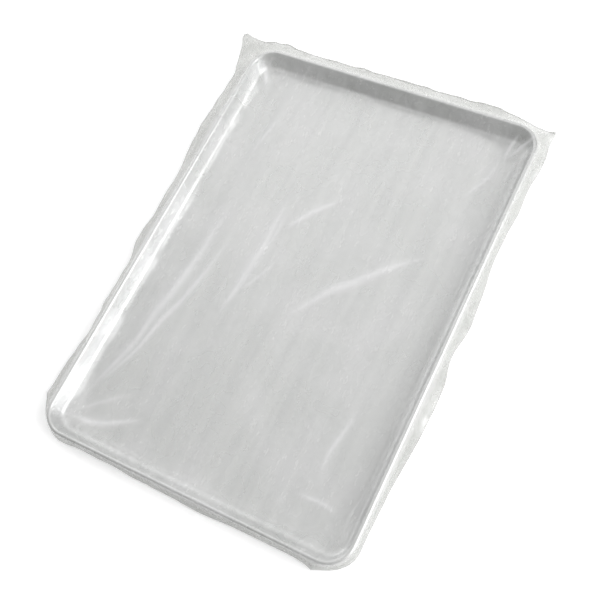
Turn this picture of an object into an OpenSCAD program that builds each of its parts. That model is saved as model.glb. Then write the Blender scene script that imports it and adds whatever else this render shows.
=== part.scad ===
// A full-size bakery sheet pan, slipped into a clear film bag.
// The pan is centred on the origin and the lowest film lies on z = 0.
// X is across the pan, Y along it: the bag's sealed end is at +Y and its mouth,
// which is folded under the pan, is at -Y.

/* [Sheet pan] */
// Width over the curled rim
pan_w = 457.2; // [440:0.1:475]
// Length over the curled rim
pan_l = 660.4; // [640:0.1:680]
// Height from the underside of the floor to the top of the rim
pan_h = 25.4; // [22:0.1:30]
// Thickness of the pressed sheet
sheet_t = 1; // [0.8:0.1:1.2]
// Lean of the walls, in degrees from upright
wall_lean = 15; // [10:1:20]
// Radius of the rim's corners, seen from above
corner_r = 38; // [32:1:44]
// Inside radius where the floor turns up into the walls
bottom_r = 10; // [7:0.5:12]
// Outside diameter of the curled rim
curl_d = 7; // [6.4:0.1:7.6]
// Diameter of the steel wire inside the curl
wire_d = 4.6; // [3.6:0.1:4.8]

/* [Film bag] */
// Thickness of one layer of film, drawn thicker than the real film
film_t = 0.3; // [0.25:0.05:0.4]
// Air left between film and pan
film_gap = 0.3; // [0.3:0.05:0.6]
// Height of the side folds above the table
fold_z = 10; // [8:0.5:12]
// Reach of the film past the pan's left side, at its middle
left_reach = 24; // [18:1:30]
// Reach of the film past the pan's right side
right_reach = 15; // [12:1:22]
// Reach of the sealed end past the pan's far end
end_reach = 22; // [18:1:28]
// Reach of the folded mouth past the pan's near end
mouth_reach = 7; // [5:0.5:10]
// Length of mouth that is tucked under the pan
tuck = 100; // [60:5:140]
// Width of the heat-sealed strip
seal_w = 4; // [3:0.5:6]

/* [Hidden] */
$fn = 96;
slab = 0.01;
lap = 0.05;

// Heights: the tucked mouth, then the bag's lower layer, then air, then the pan.
pan_z = 2 * film_t + film_gap;
top_z = pan_z + pan_h + film_gap + film_t;

// Rim section, with x as the distance inwards from the rim's outer edge.
curl_r = curl_d / 2;
curl_z = pan_h - curl_r;
curl_open_from = -70;
curl_open_to = wall_lean;
wall_top_x = curl_r + curl_r * cos(wall_lean);
wall_top_z = curl_z + curl_r * sin(wall_lean);
wall_foot_x = wall_top_x + (wall_top_z - sheet_t) * tan(wall_lean);
floor_edge_x = wall_foot_x + bottom_r * tan(45 - wall_lean / 2);
bend_z = sheet_t + bottom_r;

// Straight lengths between the corner arcs.
side_l = pan_l - 2 * corner_r;
end_l = pan_w - 2 * corner_r;
corner_x = end_l / 2;
corner_y = side_l / 2;
wire_joint_gap = 1.5;

// Where the film's shapes are cut from each other.
far_y = pan_l / 2 + end_reach;
near_y = -pan_l / 2 - mouth_reach;
mouth_y = -corner_y;
tuck_y = near_y + tuck;
foot_in = 16;
foot_x = pan_w / 2 - foot_in;
foot_far_y = pan_l / 2 - foot_in;
tuck_x = foot_x - 8;
step_lap = 2;

// The folds at the bag's two sides and ends, seen from above, from the far left round to the near left.
fold_outline = [
    [-pan_w / 2 - left_reach - 4, far_y - 7],
    [-pan_w / 2 - left_reach + 6, far_y],
    [pan_w / 4, far_y - 1],
    [pan_w / 2, far_y - 10],
    [pan_w / 2 + right_reach - 3, far_y - 27],
    [pan_w / 2 + right_reach, pan_l / 3],
    [pan_w / 2 + right_reach, -pan_l / 5],
    [pan_w / 2 + 4.5, mouth_y],
    [pan_w / 2 - 3.5, near_y + 22],
    [pan_w / 2 - 42, near_y],
    [-pan_w / 2 + 28, near_y],
    [-pan_w / 2 - 4, near_y + 20],
    [-pan_w / 2 - left_reach + 8, mouth_y + 4],
    [-pan_w / 2 - left_reach, 0]
];

// Where the bag lies on the table.
foot_outline = [
    [-foot_x, foot_far_y],
    [foot_x, foot_far_y],
    [foot_x, mouth_y - 12],
    [pan_w / 2 - 42, near_y],
    [-pan_w / 2 + 33, near_y],
    [-foot_x, mouth_y - 22]
];

// The sealed strip, which ends in two pointed ears.
ear_left = [-pan_w / 2 - left_reach - 17, far_y + 6];
ear_right = [pan_w / 2 + right_reach + 1, far_y - 6];
seal_outline = [
    ear_left,
    [-pan_w / 2 - left_reach + 6, far_y + 1],
    [pan_w / 4, far_y],
    [pan_w / 2 - 4, far_y - 8.5],
    ear_right,
    [pan_w / 2 + right_reach - 5, far_y - 21],
    [pan_w / 2 - 4, far_y - 9.5 - seal_w],
    [pan_w / 4, far_y - 1 - seal_w],
    [-pan_w / 2 - left_reach + 6, far_y - seal_w],
    [-pan_w / 2 - left_reach - 3, far_y - 14]
];

// Rim and wall as one strip of sheet: bend, leaning wall and curl round the wire.
// The wall laps a hair into the bend, so that the two are one piece of metal.
module rim_section() {
    foot_lap = lap * [sin(wall_lean), -cos(wall_lean)];
    wall = [
        [wall_top_x, wall_top_z],
        [wall_top_x - sheet_t * cos(wall_lean), wall_top_z - sheet_t * sin(wall_lean)],
        [floor_edge_x - (bottom_r + sheet_t) * cos(wall_lean) + foot_lap.x,
            bend_z - (bottom_r + sheet_t) * sin(wall_lean) + foot_lap.y],
        [floor_edge_x - bottom_r * cos(wall_lean) + foot_lap.x,
            bend_z - bottom_r * sin(wall_lean) + foot_lap.y]
    ];
    polygon(wall);
    bend_section();
    translate([curl_r, curl_z]) curl_section();
}

// Quarter bend between the floor and the leaning wall.
module bend_section() {
    reach = 2 * bottom_r;
    intersection() {
        translate([floor_edge_x, bend_z]) difference() {
            circle(r = bottom_r + sheet_t);
            circle(r = bottom_r);
        }
        polygon([
            [floor_edge_x, bend_z],
            [floor_edge_x - reach * cos(wall_lean), bend_z - reach * sin(wall_lean)],
            [floor_edge_x - reach, bend_z - reach],
            [floor_edge_x, bend_z - reach]
        ]);
    }
}

// The curl is a ring that is left open where the sheet's edge meets the wall again.
module curl_section() {
    far = 2 * curl_d;
    difference() {
        circle(r = curl_r);
        circle(r = curl_r - sheet_t);
        polygon([
            [0, 0],
            [far * cos(curl_open_from), far * sin(curl_open_from)],
            [far, -far],
            [far * cos(curl_open_to), far * sin(curl_open_to)]
        ]);
    }
}

// Carries a section, drawn with x inwards from the rim's edge, round the pan's rounded rectangle.
module round_the_rim() {
    for (side = [0, 180]) {
        rotate([0, 0, side]) translate([corner_x, 0, 0]) rotate([90, 0, 0])
            linear_extrude(height = side_l, center = true)
                translate([corner_r, 0]) mirror([1, 0]) children();
        rotate([0, 0, side]) translate([0, corner_y, 0]) rotate([0, 0, 90]) rotate([90, 0, 0])
            linear_extrude(height = end_l, center = true)
                translate([corner_r, 0]) mirror([1, 0]) children();
    }
    for (sx = [-1, 1], sy = [-1, 1]) {
        turn = sx > 0 ? (sy > 0 ? 0 : 270) : (sy > 0 ? 90 : 180);
        translate([sx * corner_x, sy * corner_y, 0]) rotate([0, 0, turn])
            rotate_extrude(angle = 90)
                translate([corner_r, 0]) mirror([1, 0]) children();
    }
}

// Flat floor of the pan, out to where the bends begin.
module pan_floor() {
    floor_r = corner_r - floor_edge_x;
    linear_extrude(height = sheet_t) {
        square([end_l, side_l + 2 * floor_r], center = true);
        square([end_l + 2 * floor_r, side_l], center = true);
        for (sx = [-1, 1], sy = [-1, 1]) {
            translate([sx * corner_x, sy * corner_y]) circle(r = floor_r);
        }
    }
}

module sheet_pan() {
    color("gainsboro") translate([0, 0, pan_z]) {
        pan_floor();
        round_the_rim() rim_section();
    }
}

// Steel wire in the curl, with its ends butted in the middle of the far rim.
module rim_wire() {
    color("slategray") translate([0, 0, pan_z]) difference() {
        round_the_rim() translate([curl_r, curl_z]) circle(d = wire_d);
        translate([-wire_joint_gap / 2, corner_y, 0])
            cube([wire_joint_gap, pan_l, pan_h]);
    }
}

// The filled bag as one closed form, shrunk by inset on every side.
module bag_form(inset) {
    rim_half_w = pan_w / 2 + film_gap + film_t - inset;
    rim_half_l = pan_l / 2 + film_gap + film_t - inset;
    hull() {
        for (sx = [-1, 1], sy = [-1, 1]) {
            translate([sx * (rim_half_w - corner_r), sy * (rim_half_l - corner_r), top_z - inset - slab])
                cylinder(r = corner_r, h = slab, $fn = 32);
        }
        translate([0, 0, fold_z]) linear_extrude(height = slab)
            polygon([for (p = fold_outline) p - inset * [sign(p.x), sign(p.y)]]);
        translate([0, 0, inset]) linear_extrude(height = slab)
            polygon([for (p = foot_outline) p - inset * [sign(p.x), sign(p.y)]]);
    }
}

// The film alone: the bag's form with its inside taken out.
module bag_shell() {
    difference() {
        bag_form(0);
        bag_form(film_t);
        end_seal_form();
    }
}

module end_seal_form() {
    translate([0, 0, fold_z - film_t]) linear_extrude(height = 2 * film_t)
        polygon(seal_outline);
}

// A block from one y to another and from one z to another, wider than the bag.
module slice(y_from, y_to, z_from, z_to) {
    wide = 2 * pan_w;
    translate([-wide / 2, y_from, z_from])
        cube([wide, y_to - y_from, z_to - z_from]);
}

module bag_top_film() {
    color([0.92, 0.93, 0.93, 0.45]) intersection() {
        bag_shell();
        slice(mouth_y, 2 * far_y, fold_z, 2 * top_z);
    }
}

// Lower layer. Over the tucked mouth it lies one thickness higher, and laps onto its own edge there.
module bag_bottom_film() {
    lap_x = tuck_x + step_lap;
    color([0.88, 0.89, 0.89, 0.45]) {
        difference() {
            intersection() {
                bag_shell();
                slice(mouth_y, 2 * far_y, -top_z, fold_z);
            }
            translate([-tuck_x, 2 * near_y, -film_t])
                cube([2 * tuck_x, tuck_y - 2 * near_y, 3 * film_t]);
        }
        translate([0, 0, film_t]) linear_extrude(height = film_t) polygon([
            [-lap_x, tuck_y + step_lap],
            [lap_x, tuck_y + step_lap],
            [lap_x, mouth_y],
            [tuck_x - 24, near_y + 12],
            [24 - tuck_x, near_y + 12],
            [-lap_x, mouth_y]
        ]);
    }
}

// The mouth, drawn down over the near rim and tucked under the pan.
module bag_mouth_fold() {
    color([0.86, 0.87, 0.87, 0.45]) {
        intersection() {
            bag_shell();
            slice(2 * near_y, mouth_y, -top_z, 2 * top_z);
        }
        translate([-tuck_x, mouth_y, 0])
            cube([2 * tuck_x, tuck_y - mouth_y, film_t]);
    }
}

module bag_end_seal() {
    color([0.84, 0.85, 0.85, 0.6]) end_seal_form();
}

sheet_pan();
rim_wire();
bag_top_film();
bag_bottom_film();
bag_mouth_fold();
bag_end_seal();
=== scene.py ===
import bpy
import numpy as np
from mathutils import Matrix, Vector


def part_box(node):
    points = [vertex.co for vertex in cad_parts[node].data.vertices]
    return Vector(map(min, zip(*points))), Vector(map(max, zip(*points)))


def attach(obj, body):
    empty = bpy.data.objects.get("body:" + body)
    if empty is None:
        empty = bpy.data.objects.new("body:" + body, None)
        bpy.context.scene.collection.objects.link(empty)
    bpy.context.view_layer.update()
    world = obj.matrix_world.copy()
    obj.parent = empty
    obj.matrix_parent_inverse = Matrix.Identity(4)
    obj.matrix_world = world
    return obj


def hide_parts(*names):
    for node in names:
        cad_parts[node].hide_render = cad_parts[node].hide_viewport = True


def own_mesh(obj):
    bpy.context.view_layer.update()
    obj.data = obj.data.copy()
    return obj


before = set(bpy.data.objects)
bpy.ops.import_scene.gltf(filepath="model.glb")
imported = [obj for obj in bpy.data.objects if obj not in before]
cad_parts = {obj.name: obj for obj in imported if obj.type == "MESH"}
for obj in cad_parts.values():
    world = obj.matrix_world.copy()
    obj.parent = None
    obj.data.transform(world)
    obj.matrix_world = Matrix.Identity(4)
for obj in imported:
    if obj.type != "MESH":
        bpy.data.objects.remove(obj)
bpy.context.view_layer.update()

# ---------------------------------------------------------------------------- camera, table and light
# The pan lies on a lit white table and is looked down on from beyond its near right corner,
# with the camera rolled so that the pan runs from bottom left to top right.
CAMERA_ROUND = np.radians(47.39)
CAMERA_UP = np.radians(64.35)
CAMERA_ROLL = np.radians(-22.87)
CAMERA_AWAY = 1.2718
CAMERA_AIM = Vector((0.0132, -0.0230, 0.0009))
CAMERA_LENS = 55.6
FILM_GATE = 36.0

back = Vector((
    np.sin(CAMERA_ROUND) * np.cos(CAMERA_UP),
    -np.cos(CAMERA_ROUND) * np.cos(CAMERA_UP),
    np.sin(CAMERA_UP),
))
level = Vector((np.cos(CAMERA_ROUND), np.sin(CAMERA_ROUND), 0.0))
upright = level.cross(-back)
right = np.cos(CAMERA_ROLL) * level + np.sin(CAMERA_ROLL) * upright
up = np.cos(CAMERA_ROLL) * upright - np.sin(CAMERA_ROLL) * level

camera = bpy.data.objects.new("camera", bpy.data.cameras.new("camera"))
bpy.context.scene.collection.objects.link(camera)
camera.data.sensor_width = FILM_GATE
camera.data.lens = CAMERA_LENS
turn_camera = Matrix((right, up, back)).transposed().to_4x4()
camera.matrix_world = Matrix.Translation(CAMERA_AIM + CAMERA_AWAY * back) @ turn_camera
bpy.context.scene.camera = camera
bpy.context.scene.view_settings.view_transform = "Standard"


def shader_of(material):
    """The material's own shader, with its nodes switched on."""
    material.use_nodes = True
    return material.node_tree.nodes["Principled BSDF"]


TABLE_HALF = 4.0
TABLE_Z = -0.0003
WHITE = (1.0, 1.0, 1.0, 1.0)
TABLE_WHITE = (0.93, 0.93, 0.93, 1.0)

table_mesh = bpy.data.meshes.new("table_top")
corner_signs = ((-1, -1), (1, -1), (1, 1), (-1, 1))
table_corners = [(x * TABLE_HALF, y * TABLE_HALF, TABLE_Z) for x, y in corner_signs]
table_mesh.from_pydata(table_corners, [], [(0, 1, 2, 3)])
table_top = bpy.data.objects.new("table_top", table_mesh)
bpy.context.scene.collection.objects.link(table_top)
table_white = bpy.data.materials.new("table_white")
shader = shader_of(table_white)
shader.inputs["Base Color"].default_value = TABLE_WHITE
shader.inputs["Roughness"].default_value = 0.9
shader.inputs["Specular IOR Level"].default_value = 0.1
shader.inputs["Emission Color"].default_value = WHITE
shader.inputs["Emission Strength"].default_value = 0.36
table_mesh.materials.append(table_white)

world = bpy.data.worlds.new("studio")
bpy.context.scene.world = world
world.use_nodes = True
sky = world.node_tree.nodes["Background"]
sky.inputs["Color"].default_value = WHITE
sky.inputs["Strength"].default_value = 0.26


def softbox(name, toward, away, size, watts):
    """A rectangular area light, hung away metres from the pan in the direction toward and facing it."""
    data = bpy.data.lights.new(name, "AREA")
    data.shape = "RECTANGLE"
    data.size, data.size_y = size
    data.energy = watts
    lamp = bpy.data.objects.new(name, data)
    bpy.context.scene.collection.objects.link(lamp)
    direction = Vector(toward).normalized()
    lamp.location = direction * away
    lamp.visible_camera = False
    lamp.rotation_mode = "QUATERNION"
    lamp.rotation_quaternion = direction.to_track_quat("Z", "Y")


softbox("overhead_box", (-0.42, 0.50, 1.0), 2.4, (2.8, 4.4), 24.8)
softbox("far_overhead_box", (-0.90, 1.75, 2.1), 2.9, (2.6, 1.6), 4.6)
softbox("side_box", (1.0, 0.14, 0.76), 4.0, (2.9, 2.3), 118.0)
softbox("low_side_box", (1.0, 0.05, 0.23), 3.0, (1.7, 1.1), 14.0)
softbox("left_box", (-1.0, 0.30, 0.22), 3.0, (2.4, 1.3), 20.0)
softbox("back_box", (-0.30, 1.0, 0.24), 3.0, (3.0, 1.2), 7.0)

# ---------------------------------------------------------------------------- sheet pan
# One pressing of 1 mm aluminium sheet: flat floor, leaning walls and a rim curled round its wire.
# The metal keeps the rolling mill's fine straight grain, and broader, fainter streaks along it.
ROLLING_GRAIN = (900.0, 14.0, 200.0)
ROLLING_STREAKS = (75.0, 2.5, 40.0)
DULL_ALUMINIUM = (0.70, 0.705, 0.71, 1.0)
BRIGHT_ALUMINIUM = (0.77, 0.775, 0.775, 1.0)


def link(tree, source, socket, node, name):
    """Joins an output of one node to an input of another."""
    tree.links.new(source.outputs[socket], node.inputs[name])


def stretched(tree, scale):
    """Object coordinates, with each axis stretched by its own scale."""
    place = tree.nodes.new("ShaderNodeTexCoord")
    mapping = tree.nodes.new("ShaderNodeMapping")
    mapping.inputs["Scale"].default_value = scale
    link(tree, place, "Object", mapping, "Vector")
    return mapping


def noise(tree, place, scale, detail):
    """A noise texture read at the coordinates of the node place."""
    node = tree.nodes.new("ShaderNodeTexNoise")
    node.inputs["Scale"].default_value = scale
    node.inputs["Detail"].default_value = detail
    link(tree, place, "Vector", node, "Vector")
    return node


def spread(tree, source, socket, low, high, to_low, to_high):
    """A value's range from low to high, carried over to the range from to_low to to_high with soft ends."""
    node = tree.nodes.new("ShaderNodeMapRange")
    node.interpolation_type = "SMOOTHSTEP"
    node.inputs["From Min"].default_value = low
    node.inputs["From Max"].default_value = high
    node.inputs["To Min"].default_value = to_low
    node.inputs["To Max"].default_value = to_high
    link(tree, source, socket, node, "Value")
    return node


def blend_colour(tree, share, colour_a, colour_b):
    """A colour between two, by the share that comes from a spread node."""
    node = tree.nodes.new("ShaderNodeMix")
    node.data_type = "RGBA"
    node.inputs["A"].default_value = colour_a
    node.inputs["B"].default_value = colour_b
    link(tree, share, "Result", node, "Factor")
    return node


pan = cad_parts["sheet_pan"]
aluminium = bpy.data.materials.new("rolled_aluminium")
shader = shader_of(aluminium)
tree = aluminium.node_tree
shader.inputs["Metallic"].default_value = 1.0
grain = noise(tree, stretched(tree, ROLLING_GRAIN), 1.0, 4.0)
streaks = noise(tree, stretched(tree, ROLLING_STREAKS), 1.0, 3.0)
streakiness = spread(tree, streaks, "Fac", 0.3, 0.7, 0.0, 1.0)
tone = blend_colour(tree, streakiness, DULL_ALUMINIUM, BRIGHT_ALUMINIUM)
link(tree, tone, "Result", shader, "Base Color")
dulling = spread(tree, grain, "Fac", 0.3, 0.7, 0.38, 0.50)
link(tree, dulling, "Result", shader, "Roughness")
furrows = tree.nodes.new("ShaderNodeBump")
furrows.inputs["Strength"].default_value = 0.06
furrows.inputs["Distance"].default_value = 0.0002
link(tree, grain, "Fac", furrows, "Height")
link(tree, furrows, "Normal", shader, "Normal")
pan.data.materials.clear()
pan.data.materials.append(aluminium)

# ---------------------------------------------------------------------------- rim wire
# A hoop of galvanised steel wire, butted end to end, that the rim is curled round to stiffen it.
# The zinc has dulled to a mottled grey.
DULL_ZINC = (0.48, 0.49, 0.50, 1.0)
BRIGHT_ZINC = (0.62, 0.63, 0.64, 1.0)

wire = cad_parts["rim_wire"]
zinc = bpy.data.materials.new("galvanised_wire")
shader = shader_of(zinc)
tree = zinc.node_tree
shader.inputs["Metallic"].default_value = 1.0
mottle = noise(tree, stretched(tree, (1.0, 1.0, 1.0)), 260.0, 3.0)
tone = blend_colour(tree, spread(tree, mottle, "Fac", 0.35, 0.65, 0.0, 1.0), DULL_ZINC, BRIGHT_ZINC)
link(tree, tone, "Result", shader, "Base Color")
link(tree, spread(tree, mottle, "Fac", 0.3, 0.7, 0.35, 0.6), "Result", shader, "Roughness")
wire.data.materials.clear()
wire.data.materials.append(zinc)

# ---------------------------------------------------------------------------- film bag
# One tube of blown film, sealed across its far end, with the pan slid in and the mouth tucked under.
# The film hangs on the rim, drops to the tray's floor inside it and stands out as a loose flap outside,
# where its two layers meet in a fold. It is held only by the pan's weight and by cling.
MM = 0.001
pan_low, pan_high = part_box("sheet_pan")
HALF_W, HALF_L = pan_high.x, pan_high.y
RIM_CORNER = 38 * MM
TIGHTEST_CORNER = 4 * MM
A_HAIR = 1e-6
CURL_R = 3.5 * MM
CURL_CENTRE = pan_high.z - CURL_R
SHEET = 1 * MM
CLING = 0.2 * MM
HUG = CURL_R + CLING
LIES_AT = pan_low.z + SHEET + CLING
LEFT, RIGHT, NEAR, FAR = range(4)


def round_rectangle(half_w, half_l, corner, side, u):
    """Points of a rounded rectangle, their outward normals and their arc length from the side's middle.
    A side runs from the middle of one corner's arc to the middle of the next, as u goes from -1 to 1:
    straight first, then turning by arc length over the corner's radius."""
    long_side = side < NEAR
    straight = np.where(long_side, half_l, half_w) - corner
    s = u * (straight + corner * np.pi / 4)
    turn = np.maximum(np.abs(s) - straight, 0) / corner
    along = np.sign(s) * (np.minimum(np.abs(s), straight) + corner * np.sin(turn))
    across = np.where(long_side, half_w, half_l) - corner * (1 - np.cos(turn))
    facing = np.where((side == LEFT) | (side == NEAR), -1.0, 1.0)
    on_long = np.stack([facing * across, along, facing * np.cos(turn), np.sign(s) * np.sin(turn)], -1)
    row = np.where(long_side[:, None], on_long, on_long[:, [1, 0, 3, 2]])
    return row[:, :2], row[:, 2:], s


def half_side(side):
    """Arc length along the rim's outline from the middle of a side to the middle of its corners' arcs."""
    return np.where(side < NEAR, HALF_L, HALF_W) - RIM_CORNER * (1 - np.pi / 4)


def per_side(values, side):
    """Each point's own value, out of one value for each side."""
    return np.choose(side, [values[which] for which in range(4)])


def ring_points(side, u, inwards):
    """Points that lie inwards of the rim's outline by a distance each, on rounded rectangles whose
    corners tighten by that distance, down to TIGHTEST_CORNER, and close to a line at the middle."""
    corner = np.maximum(RIM_CORNER - inwards, TIGHTEST_CORNER)
    corner = np.minimum(corner, np.maximum(HALF_W - inwards, A_HAIR))
    point, _, _ = round_rectangle(HALF_W - inwards, HALF_L - inwards, corner, side, u)
    return point


def ring_grid(cells_w, cells_l):
    """A grid of cells seen as nested rings. Gives for each grid point its ring, counted inwards from
    the outside, the side of the ring that it is on and its place u on that side, from -1 to 1."""
    i, j = np.meshgrid(np.arange(cells_w + 1), np.arange(cells_l + 1), indexing="ij")
    gaps = np.stack([i, cells_w - i, j, cells_l - j])
    ring = gaps.min(0)
    side = gaps.argmin(0)
    run = np.where(side < NEAR, cells_l, cells_w) - 2 * ring
    step = np.where(side < NEAR, j, i) - ring
    u = np.where(run > 0, 2 * step / np.maximum(run, 1) - 1, 0.0)
    return ring.ravel(), side.ravel(), u.ravel()


def grid_faces(cells_w, cells_l):
    """Quads of a grid whose points run along its length first, wound so that they face up."""
    i, j = np.meshgrid(np.arange(cells_w), np.arange(cells_l), indexing="ij")
    a = (i * (cells_l + 1) + j).ravel()
    return np.stack([a, a + cells_l + 1, a + cells_l + 2, a + 1], -1)


def walk_outside(cells_w, cells_l):
    """Indices of a grid's outside points in order: along the near side, up the right, back along the
    far side and down the left."""
    w, l = np.arange(cells_w), np.arange(cells_l)
    row = cells_l + 1
    return np.concatenate([w * row, cells_w * row + l, (cells_w - w) * row + cells_l, cells_l - l])


WAVE_DIRECTIONS = 24
SHORTEST_WAVE, LONGEST_WAVE = 0.72, 1.4


def waves(points, wavelength, seed):
    """Smooth irregular waves of about unit size: a sum of plane waves in seeded directions, whose
    wavelengths spread by a third or so about the given one."""
    rng = np.random.default_rng(seed)
    angle = rng.uniform(0, np.pi, WAVE_DIRECTIONS)
    number = 2 * np.pi / (wavelength * rng.uniform(SHORTEST_WAVE, LONGEST_WAVE, WAVE_DIRECTIONS))
    phase = rng.uniform(0, 2 * np.pi, WAVE_DIRECTIONS)
    along = points[:, :1] * np.cos(angle) + points[:, 1:2] * np.sin(angle)
    return np.sin(along * number + phase).sum(1) / np.sqrt(WAVE_DIRECTIONS / 2)


FACET_TABLE = 64
FACET_CREASE_NARROWS = 2.5


def facets(points, size, seed):
    """Creases between the flat facets of crushed film, from 0 to 1. Each cell of a grid has a point at a
    seeded place in it, and a crease is where the distances to the two nearest points are nearly equal."""
    table = np.random.default_rng(seed).uniform(0.05, 0.95, (FACET_TABLE, FACET_TABLE, 2))
    cell = np.floor(points / size).astype(int)
    distances = []
    for step_x in (-1, 0, 1):
        for step_y in (-1, 0, 1):
            near_cell = cell + (step_x, step_y)
            centre = near_cell + table[near_cell[:, 0] % FACET_TABLE, near_cell[:, 1] % FACET_TABLE]
            distances.append(np.linalg.norm(points / size - centre, axis=1))
    nearest, second = np.sort(distances, axis=0)[:2]
    return np.clip(1 - FACET_CREASE_NARROWS * (second - nearest), 0, 1)


CRUMPLE_STRETCH = (1.15, 0.7)
CRUMPLE_PUSH = 0.13


def crumple(points, size, seed):
    """Creases that come and go: those between facets a little longer than wide, pushed about and faded
    out in places by waves."""
    push = np.stack([waves(points, 2.2 * size, seed + 1), waves(points, 2.2 * size, seed + 2)], -1)
    drawn_out = (points + CRUMPLE_PUSH * size * push) * CRUMPLE_STRETCH
    strength = np.clip(0.45 + 0.5 * waves(points, 2.5 * size, seed + 3), 0, 1)
    return facets(drawn_out, size, seed) * strength


# How far the flap stands out past the rim, in mm, at even steps along each side.
OVERHANG = {
    LEFT: (5, 17, 14, 14, 14, 18, 19, 18, 25, 26, 22, 25),
    RIGHT: (2, 4, 7, 12, 15, 9, 13, 9, 5, 8, 10, 12),
    NEAR: (5, 2, 3.5, 5.5, 4, 4, 2),
    FAR: (25, 21, 21, 22.5, 21, 23, 12),
}
# How ragged each side's fold is: the sealed end is the straightest.
RAGGED = {LEFT: 0.4, RIGHT: 0.4, NEAR: 0.4, FAR: 0.3}
WAVY, CRUMPLED = 1.8, 1.6
LEAST_OVERHANG = 1.2
# Pointed corners of the flat bag: the two sides that meet there, then the point's length, its half-width
# and how far along the long side it stands, in mm. Those at the sealed end end in ears.
POINTS = (
    (LEFT, FAR, 24, 10, 8),
    (LEFT, FAR, 22, 3, 5),
    (RIGHT, FAR, 9, 9, 0),
    (RIGHT, FAR, 13, 7, 1),
    (RIGHT, NEAR, 5, 9, -34),
    (LEFT, NEAR, 6, 14, 38),
)


def overhang(side, s):
    """How far the flap stands out at places s along each side, in metres: a smooth curve through the
    side's values, ragged by waves, and points that die away from their tips as exponentials."""
    end = half_side(side)
    rim_point, _, _ = round_rectangle(HALF_W, HALF_L, RIM_CORNER, side, s / end)
    value = np.zeros(len(s))
    for which, values in OVERHANG.items():
        mine = side == which
        knot = np.array(values, float)
        slope = np.gradient(knot)
        step = (s[mine] / end[mine] + 1) / 2 * (len(knot) - 1)
        k = np.clip(step.astype(int), 0, len(knot) - 2)
        t = step - k
        value[mine] = (
            (2 * t**3 - 3 * t**2 + 1) * knot[k]
            + (t**3 - 2 * t**2 + t) * slope[k]
            + (3 * t**2 - 2 * t**3) * knot[k + 1]
            + (t**3 - t**2) * slope[k + 1]
        )
    ragged = WAVY * waves(rim_point, 70 * MM, 3) + CRUMPLED * crumple(rim_point, 75 * MM, 4)
    value = np.maximum(value + ragged * per_side(RAGGED, side), LEAST_OVERHANG)
    for long_side, short_side, length, half_width, shift in POINTS:
        to_short = 1 if short_side == FAR else -1
        to_long = 1 if long_side == RIGHT else -1
        from_corner = np.where(side == long_side, end - to_short * s, to_long * s - end)
        at_corner = (side == long_side) | (side == short_side)
        value += at_corner * length * np.exp(-np.abs(from_corner / MM - shift) / half_width)
    return value * MM


HIGHEST_FOLD, FOLD_RISES_OVER = 11 * MM, 8 * MM


def fold_height(reach):
    """Height of the flap's fold over the table: near it where the flap is short, and nearing its
    greatest as an exponential where it is long."""
    return HIGHEST_FOLD * (1 - np.exp(-reach / FOLD_RISES_OVER))


# Creases that the film kept from its folding and from being pulled over the pan: the two ends, in mm,
# then the bow between them, the height and the half-width of the ridge.
CREASES = (
    ((-76, 128), (-86, -110), 7, 2.0, 6.5),
    ((-66, 96), (-74, 10), 5, 0.9, 3.5),
    ((5, 142), (-60, 60), -5, 1.4, 5.5),
    ((158, 108), (-5, -66), -9, 1.7, 6.0),
    ((110, 60), (20, -20), -6, 0.9, 3.5),
    ((-146, 100), (-204, -296), 11, 2.2, 6.5),
    ((-120, 40), (-196, -268), 8, 1.4, 5.0),
    ((-206, -300), (-98, -262), -4, 1.6, 4.0),
    ((-206, -297), (-126, -228), 4, 0.9, 4.0),
    ((120, -262), (196, -270), 5, 1.2, 4.5),
    ((156, -128), (146, -240), -5, 1.2, 5.0),
    ((-40, 30), (-84, -60), 3, 0.9, 4.5),
    ((188, 296), (150, 190), 4, 0.9, 4.5),
    ((-150, 250), (-168, 150), 4, 1.0, 4.5),
    ((222, 326), (186, 276), 3, 2.4, 2.6),
    ((196, 322), (192, 268), -3, 1.6, 2.6),
    ((-216, 318), (-196, 268), 3, 1.6, 3.2),
)
CREST_ROUNDING = 0.7 * MM


def crease(points, start, end, bow, half_width):
    """A ridge of unit height along a bowed line. It falls off as the exponential of the distance from
    the line, rounded at its crest, and dies away to both ends as a sine."""
    start, end = np.array(start) * MM, np.array(end) * MM
    length = np.linalg.norm(end - start)
    way = (end - start) / length
    t = (points - start) @ way / length
    inside = np.clip(t, 0, 1)
    across = (points - start) @ np.array([-way[1], way[0]]) - 4 * bow * MM * inside * (1 - inside)
    away = np.sqrt(across**2 + ((t - inside) * length) ** 2 + CREST_ROUNDING**2)
    return np.exp(-away / (half_width * MM)) * np.sin(np.pi * np.clip(t, 0.03, 0.97))


def taut_line(inwards, end_x, end_z):
    """Height of the line that touches the curl and ends at a point, and how far along it each place
    is, where 0 is on the curl and 1 at its end."""
    dx, dz = end_x - CURL_R, end_z - CURL_CENTRE
    leave = np.arctan2(dz, dx) + np.sign(dx) * np.arccos(HUG / np.hypot(dx, dz))
    leave_x, leave_z = CURL_R + HUG * np.cos(leave), CURL_CENTRE + HUG * np.sin(leave)
    t = (inwards - leave_x) / (end_x - leave_x)
    return leave_z + t * (end_z - leave_z), t


# Where the film that hangs inside the rim lands on the tray's floor: how far in from the rim, how
# much further at the corners, how soon that fades along a side, and how far the line wanders.
LANDS_AT = {LEFT: 22 * MM, RIGHT: 21 * MM, NEAR: 22 * MM, FAR: 19.5 * MM}
LANDS_FURTHER, CORNER_SPREAD, LANDS_WANDER = 28 * MM, 40 * MM, 3 * MM


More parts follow.
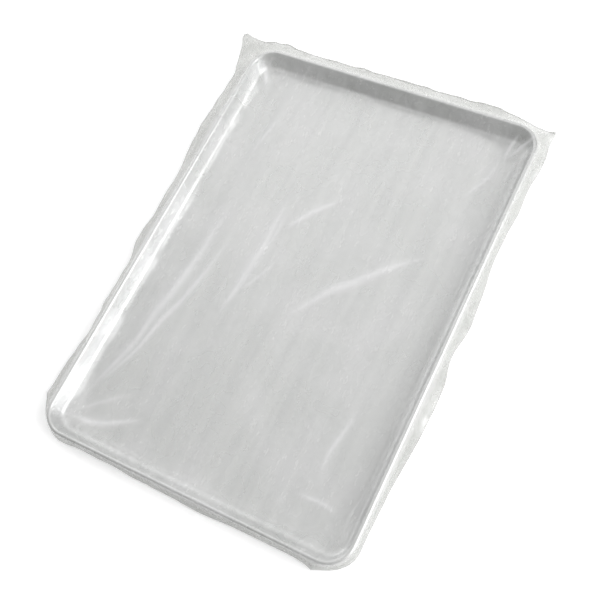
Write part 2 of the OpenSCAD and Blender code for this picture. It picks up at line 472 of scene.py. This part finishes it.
def landing_line(side, s, rim_point):
    """How far in from the rim the hanging film lands: each side's own distance, more by an
    exponential near its corners, and wandering in waves between them."""
    corner_share = np.exp(-(half_side(side) - np.abs(s)) / CORNER_SPREAD)
    wander = LANDS_WANDER * (1 - corner_share) * np.clip(waves(rim_point, 90 * MM, 71), -0.5, 1)
    return per_side(LANDS_AT, side) + LANDS_FURTHER * corner_share + wander


SWELL, BROAD_CRUMPLE, FINE_CRUMPLE = 0.25 * MM, 0.2 * MM, 0.05 * MM
CREASE_WANDER = 1.3 * MM
# A crease of this height, in mm, whitens fully: partly the film's own whitening, partly painted sheen.
WHITE_AND_SHEEN_FULL_AT = 1.6


def film_on_floor(point):
    """Height of the film that lies on the tray's floor, how creased its creases make it and how
    crumpled it is, the last two from 0 to 1. Swells rounded off below, broad and fine crumples and the
    creases are added up, and a crease whitens by its height: partly the film's own whitening, partly
    painted sheen on the ridge."""
    swell = 0.3 + waves(point, 95 * MM, 11)
    broad, fine = crumple(point, 58 * MM, 12), crumple(point, 22 * MM, 15)
    height = LIES_AT + SWELL * (swell + np.sqrt(swell**2 + 0.5))
    height += BROAD_CRUMPLE * broad + FINE_CRUMPLE * fine
    wander = CREASE_WANDER * np.stack([waves(point, 80 * MM, 41), waves(point, 80 * MM, 42)], -1)
    creased = np.zeros(len(point))
    for start, stop, bow, high, half_width in CREASES:
        ridge = crease(point + wander, start, stop, bow, half_width)
        height += high * MM * ridge
        creased = np.maximum(creased, ridge * min(high / WHITE_AND_SHEEN_FULL_AT, 1))
    return height, creased, np.maximum(broad, fine)


TOP_CELLS = (220, 310)
# Rings of cells over the flap, over the curl and down to the tray's floor, and how wide the last two are.
FLAP_RINGS, CURL_RINGS, DROP_RINGS = 14, 7, 18
CURL_WIDTH, DROP_WIDTH = 7 * MM, 39 * MM
# The flap's waves and ruffles, the reach from which it has them in full, and its sag as a share of it.
FLAP_WAVE, FLAP_IN_FULL, FLAP_SAG = 0.7 * MM, 12 * MM, 0.18
LOWEST_FLAP = 0.5 * MM
# How much slack the film that hangs inside the rim has to gather: it is drawn tight down the left wall.
SLACK = {LEFT: 0.15, RIGHT: 0.6, NEAR: 0.8, FAR: 1.0}
GATHER_WAVE, GATHER_FOLD, GATHER_CREASE = 1.6 * MM, 2.0 * MM, 8 * MM
# The bend where it lands is rounded off by this much, up to this many times the way to the landing line.
LANDING_EASE, LANDING_ENDS = 4 * MM, 2.5
# How much the flap's ruffles, the gathers and the crumples whiten the film: partly its own whitening,
# partly painted sheen.
RUFFLE_WHITE_AND_SHEEN, GATHER_WHITE_AND_SHEEN, CRUMPLE_WHITE_AND_SHEEN = 0.35, 1.6, 0.15


def film_over_pan():
    """The upper layer, how creased it is and how far out on the flap, both from 0 to 1. On the flap a
    ring is the rim's outline moved out along its normals, and its height follows a taut line from the
    curl to the fold. Inside, the height is the greater, rounded off, of a taut line from the curl to
    where the film lands and of the film that lies on the floor."""
    ring, side, u = ring_grid(*TOP_CELLS)
    rim_point, rim_normal, s = round_rectangle(HALF_W, HALF_L, RIM_CORNER, side, u)
    reach = overhang(side, s)
    out = np.maximum(FLAP_RINGS - ring, 0) / FLAP_RINGS
    last_rings = np.cumsum([FLAP_RINGS, CURL_RINGS, DROP_RINGS])
    depths = [0, CURL_WIDTH, CURL_WIDTH + DROP_WIDTH, HALF_W]
    inwards = np.interp(ring, [*last_rings, TOP_CELLS[0] / 2], depths)
    on_flap = rim_point + rim_normal * (out * reach)[:, None]
    point = np.where(out[:, None] > 0, on_flap, ring_points(side, u, inwards))
    inwards = np.where(out > 0, -out * reach, inwards)

    lands = landing_line(side, s, rim_point)
    outer, outer_t = taut_line(inwards, -reach, fold_height(reach))
    inner, inner_t = taut_line(inwards, lands, np.full_like(lands, LIES_AT))
    round_curl = CURL_CENTRE + np.sqrt(np.maximum(HUG**2 - (inwards - CURL_R) ** 2, 0))
    height = np.where(outer_t > 0, outer, np.where(inner_t > 0, inner, round_curl))

    outer_t = np.clip(outer_t, 0, 1)
    flap = outer_t * np.clip(reach / FLAP_IN_FULL, 0, 1)
    ruffle = crumple(point, 30 * MM, 6)
    height += FLAP_WAVE * flap * (waves(point, 30 * MM, 5) + ruffle)
    height -= FLAP_SAG * reach * outer_t * (1 - outer_t)

    lying, creased, crumpled = film_on_floor(point)
    down = np.clip(inner_t, 0, 1)
    hanging = down * (1 - down)
    slack = per_side(SLACK, side)
    folds = crumple(point, 26 * MM, 22)
    gathers = GATHER_WAVE * waves(point, 34 * MM, 21) + GATHER_FOLD * folds
    drop = height + hanging * (slack * gathers + GATHER_CREASE * creased)
    ease = LANDING_EASE * down * np.clip(LANDING_ENDS - inner_t, 0, 1)
    landed = 0.5 * (drop + lying + np.sqrt((drop - lying) ** 2 + ease**2))
    landed = np.where(inner_t > LANDING_ENDS, lying, landed)
    height = np.where(inner_t > 0, np.maximum(landed, LIES_AT), np.maximum(height, LOWEST_FLAP))

    creased = np.maximum(creased, RUFFLE_WHITE_AND_SHEEN * flap * ruffle + GATHER_WHITE_AND_SHEEN * hanging * slack * folds)
    creased = np.maximum(creased, CRUMPLE_WHITE_AND_SHEEN * (inner_t >= 1) * crumpled**2)
    return np.column_stack([point, height]), np.clip(creased, 0, 1), np.clip(2 * outer_t, 0, 1)


UNDER_CELLS = (110, 155)
ON_TABLE = 0.3 * MM
TUCK_RINGS, TUCK_WIDTH = 8, 18 * MM
TUCK_STEEPNESS, TUCK_WAVE = 1.7, 0.4 * MM


def film_under_pan():
    """The lower layer: from the fold in under the pan, falling as a power of the way left to go, and
    flat on the table from there."""
    ring, side, u = ring_grid(*UNDER_CELLS)
    rim_point, rim_normal, s = round_rectangle(HALF_W, HALF_L, RIM_CORNER, side, u)
    reach = overhang(side, s)
    t = (ring + 1) / (TUCK_RINGS + 1)
    under = np.interp(ring, [TUCK_RINGS, UNDER_CELLS[0] / 2], [TUCK_WIDTH, HALF_W])
    inwards = np.where(t < 1, -reach + t * (reach + TUCK_WIDTH), under)
    on_flap = rim_point - rim_normal * inwards[:, None]
    point = np.where(inwards[:, None] < 0, on_flap, ring_points(side, u, np.maximum(inwards, 0)))
    loose = 1 - np.clip(t, 0, 1)
    height = ON_TABLE + (fold_height(reach) - ON_TABLE) * loose**TUCK_STEEPNESS
    height += TUCK_WAVE * loose * waves(point, 24 * MM, 31)
    return np.column_stack([point, np.maximum(height, ON_TABLE)])


MOUTH_CELLS = (60, 14)
MOUTH_DEPTH, MOUTH_PULLS_IN, MOUTH_UNEVEN = 96 * MM, 6 * MM, 5 * MM
# Each of the mouth's two layers: its height over the table and its seed.
MOUTH_LAYERS = ((0.18 * MM, 61), (0.10 * MM, 62))


def tucked_mouth(level, seed):
    """One layer of the bag's mouth, turned under the pan's near end and pressed flat at a level: a grid
    from the near fold to the cut edge. Its sides pull in a little, and waves make its edge uneven."""
    steps = [np.linspace(-1, 1, MOUTH_CELLS[0] + 1), np.linspace(0, 1, MOUTH_CELLS[1] + 1)]
    across, back_in = (step.ravel() for step in np.meshgrid(*steps, indexing="ij"))
    x = across * (HALF_W - RIM_CORNER - MOUTH_PULLS_IN * back_in)
    y = -HALF_L + 1 * MM + back_in * MOUTH_DEPTH
    y += back_in * MOUTH_UNEVEN * waves(np.column_stack([x, y]), 120 * MM, seed)
    return np.column_stack([x, y, np.full(len(x), level)])


def stitch(outside, hem):
    """Triangles between a ring of points and a ring of half as many, two points to one."""
    a, b, c = outside[0::2], outside[1::2], np.roll(outside, -2)[0::2]
    d, e = hem, np.roll(hem, -1)
    return np.concatenate([np.stack([b, a, d], -1), np.stack([c, b, e], -1), np.stack([b, d, e], -1)])


CREASED_BENEATH = 0.1
top, creased, doubled_and_shade = film_over_pan()
under = film_under_pan()
mouth_layers = [tucked_mouth(*layer) for layer in MOUTH_LAYERS]
starts = np.cumsum([0, len(top), len(under), len(mouth_layers[0])])
faces = grid_faces(*TOP_CELLS).tolist()
faces += (grid_faces(*UNDER_CELLS)[:, ::-1] + starts[1]).tolist()
faces += stitch(walk_outside(*TOP_CELLS), walk_outside(*UNDER_CELLS) + starts[1]).tolist()
for start in starts[2:]:
    faces += (grid_faces(*MOUTH_CELLS)[:, ::-1] + start).tolist()
points = np.concatenate([top, under, *mouth_layers])

bag_mesh = bpy.data.meshes.new("film_bag")
bag_mesh.from_pydata(points.tolist(), [], faces)
bag_mesh.validate()
bag_mesh.polygons.foreach_set("use_smooth", np.ones(len(bag_mesh.polygons), bool))
beneath = np.ones(len(points) - len(top))
# Each point's whitening along creases, gathers and ruffles, partly painted sheen, and a little on the
# layers beneath.
white_and_sheen_attribute = bag_mesh.attributes.new("creased", "FLOAT", "POINT")
white_and_sheen_attribute.data.foreach_set("value", np.concatenate([creased, CREASED_BENEATH * beneath]))
# How far out on the flap each point is, 1 on the layers beneath: where the film is greyed with painted
# shade.
doubled_and_shade_attribute = bag_mesh.attributes.new("doubled_and_shade", "FLOAT", "POINT")
doubled_and_shade_attribute.data.foreach_set("value", np.concatenate([doubled_and_shade, beneath]))
bag = bpy.data.objects.new("film_bag", bag_mesh)
bpy.context.scene.collection.objects.link(bag)


def combine(tree, operation, source_a, socket_a, source_b, socket_b):
    """The sum or the product of two values."""
    node = tree.nodes.new("ShaderNodeMath")
    node.operation = operation
    link(tree, source_a, socket_a, node, 0)
    link(tree, source_b, socket_b, node, 1)
    return node


def blend_over(tree, share, under, colour):
    """A colour laid over the one that another blend gives, by the share that comes from a spread node."""
    node = blend_colour(tree, share, colour, colour)
    link(tree, under, "Result", node, "A")
    return node


def read_attribute(tree, name):
    """The value that each point of a mesh carries under a name."""
    node = tree.nodes.new("ShaderNodeAttribute")
    node.attribute_name = name
    return node


GREENISH_CLEAR = (0.76, 0.77, 0.74, 1.0)
MILKY_CLEAR = (0.86, 0.86, 0.85, 1.0)
# Painted shade: the grey laid over the flap and the layers beneath, for the shade on their undersides and
# on sides turned from the light.
FLAP_PAINTED_SHADE_GREY = (0.40, 0.41, 0.38, 1.0)
# White along the creases: partly the film's own whitening, partly painted sheen.
CREASE_WHITE_AND_SHEEN = (0.97, 0.97, 0.97, 1.0)

film = bpy.data.materials.new("clear_film")
shader = shader_of(film)
tree = film.node_tree
shader.inputs["IOR"].default_value = 2.0
clinging = noise(tree, stretched(tree, (1.0, 1.0, 1.0)), 11.0, 3.0)
crinkle = noise(tree, stretched(tree, (1.0, 0.45, 1.0)), 190.0, 2.0)
ripples = noise(tree, stretched(tree, (1.0, 0.55, 1.0)), 70.0, 1.5)
creases = read_attribute(tree, "creased")
doubled_and_shade_node = read_attribute(tree, "doubled_and_shade")

# How much the film covers: its haze, more on the flap, more where it is creased, which carries its white
# and painted sheen, and in patches of flecks.
haze = spread(tree, clinging, "Fac", 0.30, 0.70, 0.30, 0.42)
# The flap's greater cover is partly the haze of its two layers and partly lays on more of its painted shade
# grey.
flap_haze_and_shade = spread(tree, doubled_and_shade_node, "Fac", 0.0, 1.0, 0.0, 0.07)
white_and_sheen_cover = spread(tree, creases, "Fac", 0.0, 1.0, 0.0, 0.28)
flecks = spread(tree, crinkle, "Fac", 0.58, 0.70, 0.0, 1.0)
fleck_patches = spread(tree, clinging, "Fac", 0.46, 0.60, 0.0, 0.15)
one_layer = spread(tree, doubled_and_shade_node, "Fac", 0.0, 1.0, 1.0, 0.0)
fleck_share = combine(tree, "MULTIPLY", fleck_patches, "Result", one_layer, "Result")
speckle = combine(tree, "MULTIPLY", flecks, "Result", fleck_share, "Value")
all_haze = combine(tree, "ADD", haze, "Result", flap_haze_and_shade, "Result")
haze_and_creases = combine(tree, "ADD", all_haze, "Value", white_and_sheen_cover, "Result")
cover = combine(tree, "ADD", haze_and_creases, "Value", speckle, "Value")
link(tree, cover, "Value", shader, "Alpha")

# Its colour: milkier where it clings, grey with painted shade on the flap and the layers beneath,
# and white along its creases, partly the film's own whitening and partly painted sheen.
milkiness = spread(tree, clinging, "Fac", 0.32, 0.68, 0.0, 1.0)
clear = blend_colour(tree, milkiness, GREENISH_CLEAR, MILKY_CLEAR)
# Painted shade: the film is greyed by how far out on the flap it is, and fully on the layers beneath.
painted_shade_share = spread(tree, doubled_and_shade_node, "Fac", 0.0, 1.0, 0.0, 0.85)
painted_shade_tone = blend_over(tree, painted_shade_share, clear, FLAP_PAINTED_SHADE_GREY)
white_and_sheen_share = spread(tree, creases, "Fac", 0.0, 0.6, 0.0, 1.0)
tone = blend_over(tree, white_and_sheen_share, painted_shade_tone, CREASE_WHITE_AND_SHEEN)
link(tree, tone, "Result", shader, "Base Color")
link(tree, spread(tree, ripples, "Fac", 0.35, 0.65, 0.16, 0.30), "Result", shader, "Roughness")
relief = tree.nodes.new("ShaderNodeBump")
relief.inputs["Strength"].default_value = 0.2
relief.inputs["Distance"].default_value = 0.0004
link(tree, ripples, "Fac", relief, "Height")
link(tree, relief, "Normal", shader, "Normal")
bag_mesh.materials.append(film)


def tie_to_bag(piece):
    """Makes a piece part of the bag's body and gives it its own copy of its mesh."""
    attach(piece, "bag")
    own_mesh(piece)


tie_to_bag(bag)
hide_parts("bag_top_film", "bag_bottom_film", "bag_mouth_fold")

# ---------------------------------------------------------------------------- end seal
# The bag maker's hot bar closed the tube across its far end and cut it there, which left a flat band
# about 4 mm wide where the two layers are one, a little cloudier than the film. Its grey is darker
# than the film's, with painted shade that tones down the ear tips.
SEAL_WIDTH = 4 * MM
SEAL_HALF_THICK = 0.25 * MM
SEAL_PROUD = 0.5 * MM
# The band's direction at each point is taken this many of the film's points in from the edge.
SEAL_FOLLOWS = 3
# The band's greys: a little cloudier than the film, and darkened with painted shade.
CLOUDY_SHADED_SEAL = (0.44, 0.45, 0.43, 1.0)
CLOUDIER_SHADED_SEAL = (0.54, 0.55, 0.53, 1.0)


def seal_band():
    """A flat closed band along the bag's far edge, from ear to ear: at each of the film's outside points
    a section of four corners, which lies along the line from that point inwards over the flap."""
    row = TOP_CELLS[1] + 1
    far_edge = np.arange(TOP_CELLS[0] + 1) * row + TOP_CELLS[1]
    outer = top[far_edge]
    inwards = top[far_edge - SEAL_FOLLOWS] - outer
    inwards /= np.linalg.norm(inwards, axis=1, keepdims=True)
    upwards = np.array([0, 0, SEAL_HALF_THICK])
    tip, heel = outer - SEAL_PROUD * inwards, outer + (SEAL_WIDTH - SEAL_PROUD) * inwards
    return np.stack([tip + upwards, heel + upwards, heel - upwards, tip - upwards], 1)


def band_faces(count):
    """Quads along the four edges of a band with so many sections, and a cap over either end."""
    k = np.arange(count - 1)[:, None] * 4
    edge_a = np.arange(4)[None, :]
    edge_b = (edge_a + 1) % 4
    along = np.stack([k + edge_a, k + edge_b, k + 4 + edge_b, k + 4 + edge_a], -1).reshape(-1, 4)
    first_cap, last_cap = np.arange(3, -1, -1), np.arange(4) + 4 * (count - 1)
    return np.concatenate([along, [first_cap, last_cap]])


sections = seal_band()
seal_mesh = bpy.data.meshes.new("end_seal")
seal_mesh.from_pydata(sections.reshape(-1, 3).tolist(), [], band_faces(len(sections)).tolist())
seal_mesh.validate()
seal = bpy.data.objects.new("end_seal", seal_mesh)
bpy.context.scene.collection.objects.link(seal)

welded = bpy.data.materials.new("sealed_film")
shader = shader_of(welded)
tree = welded.node_tree
shader.inputs["IOR"].default_value = 1.8
knurl = noise(tree, stretched(tree, (1.0, 0.2, 1.0)), 420.0, 2.0)
cloudiness = spread(tree, knurl, "Fac", 0.35, 0.65, 0.0, 1.0)
tone = blend_colour(tree, cloudiness, CLOUDY_SHADED_SEAL, CLOUDIER_SHADED_SEAL)
link(tree, tone, "Result", shader, "Base Color")
link(tree, spread(tree, knurl, "Fac", 0.35, 0.65, 0.2, 0.35), "Result", shader, "Roughness")
link(tree, spread(tree, knurl, "Fac", 0.35, 0.65, 0.24, 0.34), "Result", shader, "Alpha")
seal_mesh.materials.append(welded)

tie_to_bag(seal)
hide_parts("bag_end_seal")
